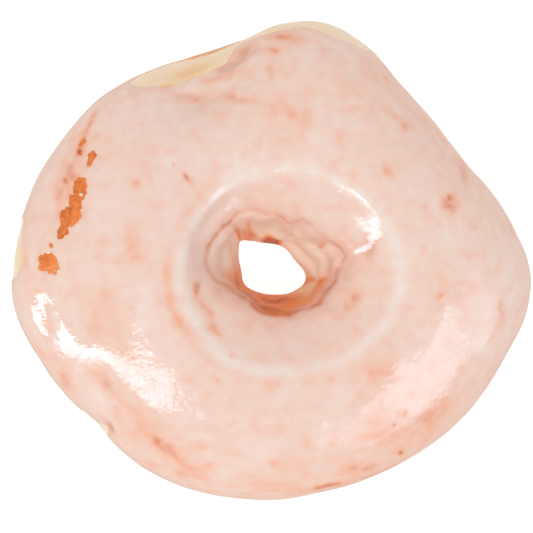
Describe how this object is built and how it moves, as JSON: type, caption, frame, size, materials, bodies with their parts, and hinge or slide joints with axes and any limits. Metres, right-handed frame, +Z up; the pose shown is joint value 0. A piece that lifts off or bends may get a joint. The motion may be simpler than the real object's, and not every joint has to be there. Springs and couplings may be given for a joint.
{
  "type": "glazed ring doughnut",
  "caption": "Yeast-raised ring doughnut with an uneven outline, a puckered hole and a thin glossy sugar glaze over a browned crust.",
  "frame": {"origin": "on the table the doughnut rests on, under the middle of its outline's box", "axes": "+Z up through the hole, out of the glazed top; +X to the right and +Y away from the viewer of the top"},
  "size_m": [0.098, 0.0906, 0.0351],
  "materials": {
    "sugar_glaze": "set sugar glaze, glossy and slightly see-through over browned dough",
    "fried_dough": "fried yeast dough, browned crust with a pale proof line, fine blisters"
  },
  "bodies": {
    "root": {"doughnut": "sugar_glaze"}
  },
  "joints": []
}
